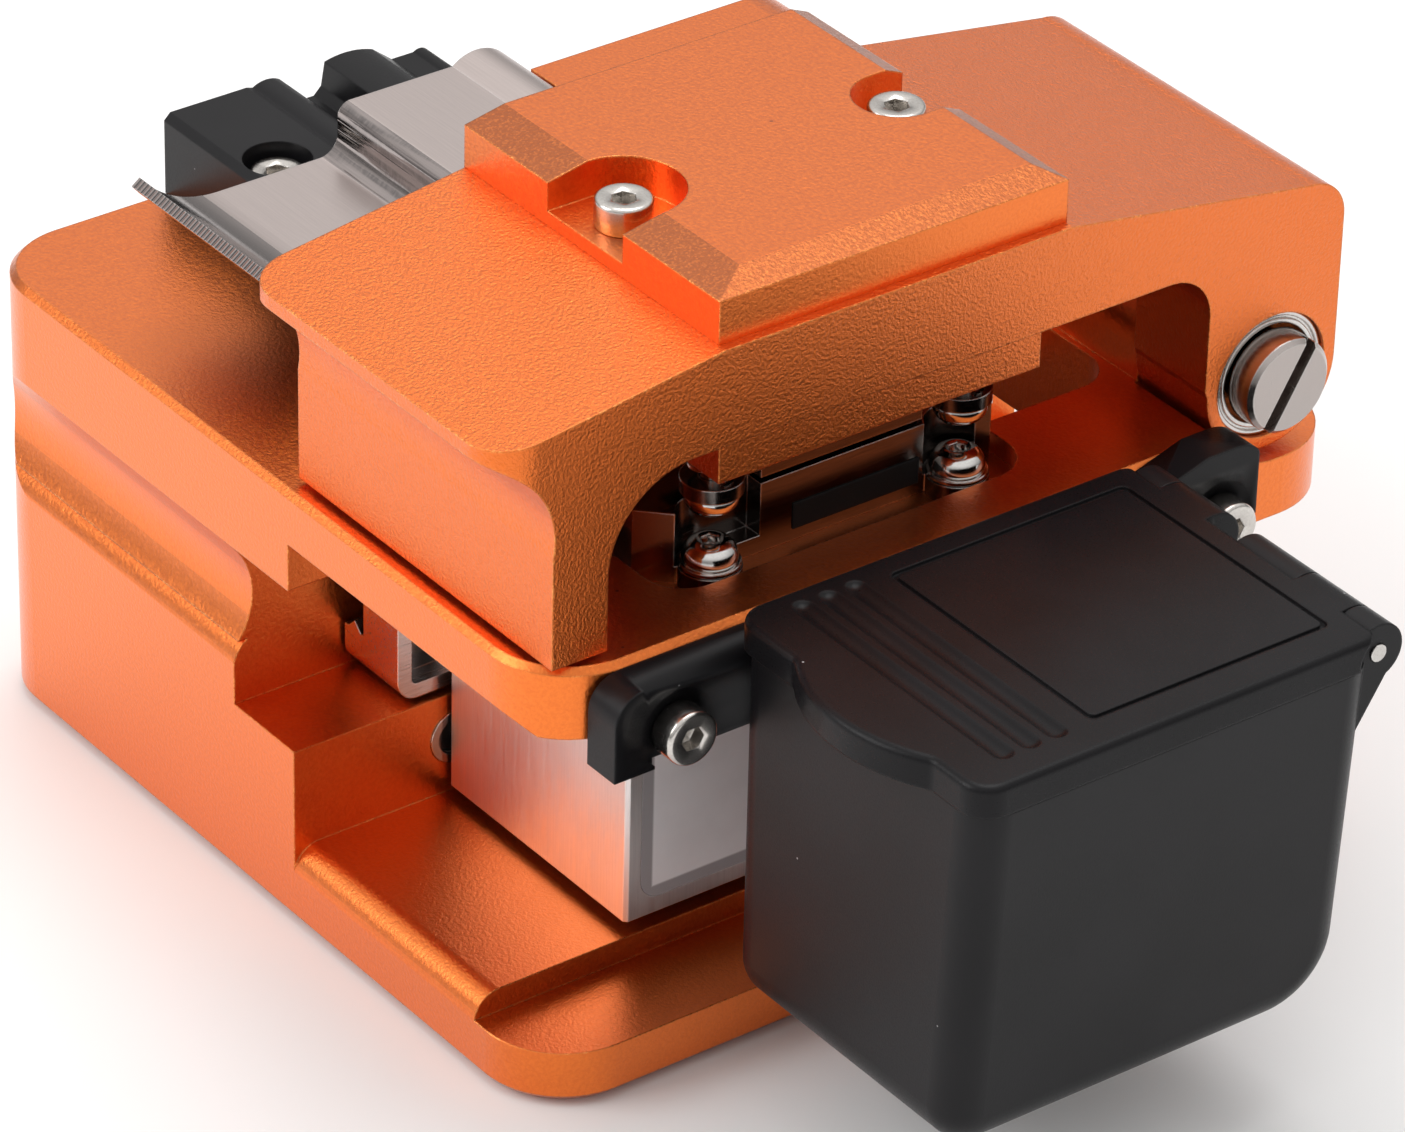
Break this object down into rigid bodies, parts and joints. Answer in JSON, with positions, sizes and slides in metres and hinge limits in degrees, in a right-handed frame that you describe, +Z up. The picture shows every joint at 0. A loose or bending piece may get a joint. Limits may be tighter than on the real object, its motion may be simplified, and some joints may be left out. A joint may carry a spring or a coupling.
{
  "type": "optical fibre cleaver",
  "caption": "Bench fibre cleaver: orange milled frame with a hinged clamp arm, sliding blade carriage, fibre lever and black scrap bin.",
  "frame": {"origin": "middle of the frame's footprint, on the surface it stands on", "axes": "+X to the scrap bin on the right, +Y to the rear, where the arm is hinged, +Z up"},
  "size_m": [0.0939, 0.0685, 0.056],
  "materials": {
    "frame_orange": "bead-blasted orange anodising with bright broken edges",
    "arm_orange": "bead-blasted orange anodising with bright broken edges",
    "plate_orange": "fine bead-blasted orange anodising with bright bevels",
    "carrier_orange": "bead-blasted orange anodising",
    "pad_rubber": "matt black rubber",
    "magnet_ring": "nickel-plated ring",
    "rail_steel": "ground steel",
    "guide_steel": "milled and polished steel",
    "carriage_steel": "satin nickel-plated steel",
    "label_white": "bare white foil, unprinted",
    "bracket_steel": "satin steel",
    "blade_steel": "ground carbide",
    "spindle_steel": "turned steel",
    "clamp_steel": "satin steel",
    "insert_black": "matt black strip",
    "screw_chrome": "bright plated steel",
    "screw_steel": "turned stainless steel",
    "anvil_steel": "ground steel",
    "spring_steel": "spring wire",
    "hinge_steel": "turned satin steel with a bright rim",
    "bearing_chrome": "polished bearing steel",
    "holder_black": "satin black plastic",
    "lever_steel": "satin steel with fine milled lines",
    "pin_steel": "turned steel",
    "hanger_black": "satin black plastic",
    "bin_black": "fine-textured black plastic",
    "lid_black": "fine-textured black plastic"
  },
  "bodies": {
    "base": {"base_frame": "frame_orange", "base_pad": "pad_rubber", "home_magnet": "magnet_ring", "linear_rail": "rail_steel", "lower_clamp_left": "clamp_steel", "lower_clamp_right": "clamp_steel", "lower_clamp_insert": "insert_black", "lower_clamp_pads": "pad_rubber", "lower_clamp_screws": "screw_chrome", "lower_clamp_washers": "screw_chrome", "hinge_pin": "hinge_steel", "hinge_bearing_inner_rings": "bearing_chrome", "hinge_circlip": "bearing_chrome", "fibre_holder": "holder_black", "fibre_holder_screws": "screw_steel", "lever_pin": "pin_steel", "bin_hanger": "hanger_black", "bin_hanger_screws": "screw_steel", "bin_body": "bin_black", "bin_lid_pin": "pin_steel"},
    "arm": {"arm": "arm_orange", "top_plate": "plate_orange", "top_plate_screws": "screw_steel", "clamp_carrier": "carrier_orange", "anvil": "anvil_steel", "upper_guide_screws": "screw_chrome", "clamp_springs": "spring_steel", "hinge_bearing_outer_rings": "bearing_chrome"},
    "upper_clamp": {"upper_clamp_block": "clamp_steel", "upper_clamp_pads": "pad_rubber"},
    "carriage": {"guide_plate": "guide_steel", "carriage_block": "carriage_steel", "carriage_label": "label_white", "blade_bracket": "bracket_steel", "blade_spindle": "spindle_steel"},
    "blade": {"cleaving_blade": "blade_steel"},
    "fibre_lever": {"clamp_lever": "lever_steel", "lever_pad": "pad_rubber"},
    "bin_lid": {"bin_lid": "lid_black"}
  },
  "joints": [
    {"name": "arm_hinge", "type": "hinge", "parent": "base", "child": "arm", "pos_m": [0.018, 0.02615, 0.0356], "axis": [-1, 0, 0], "range_deg": [0, 75]},
    {"name": "clamp_travel", "type": "slide", "parent": "arm", "child": "upper_clamp", "axis": [0, 0, 1], "range_m": [0, 0.0008], "stiffness_N_per_m": 2500, "springref_m": -0.0004, "deforming": ["clamp_springs"]},
    {"name": "carriage_slide", "type": "slide", "parent": "base", "child": "carriage", "axis": [0, 1, 0], "range_m": [0, 0.018]},
    {"name": "blade_index", "type": "hinge", "parent": "carriage", "child": "blade", "pos_m": [0.0151, -0.01115, 0.02998], "axis": [1, 0, 0], "continuous": true},
    {"name": "fibre_lever_hinge", "type": "hinge", "parent": "base", "child": "fibre_lever", "pos_m": [-0.01245, -0.00085, 0.0417], "axis": [-1, 0, 0], "range_deg": [0, 100]},
    {"name": "bin_lid_hinge", "type": "hinge", "parent": "base", "child": "bin_lid", "pos_m": [0.04845, 0.01135, 0.03425], "axis": [-1, 0, 0], "range_deg": [0, 110]}
  ]
}
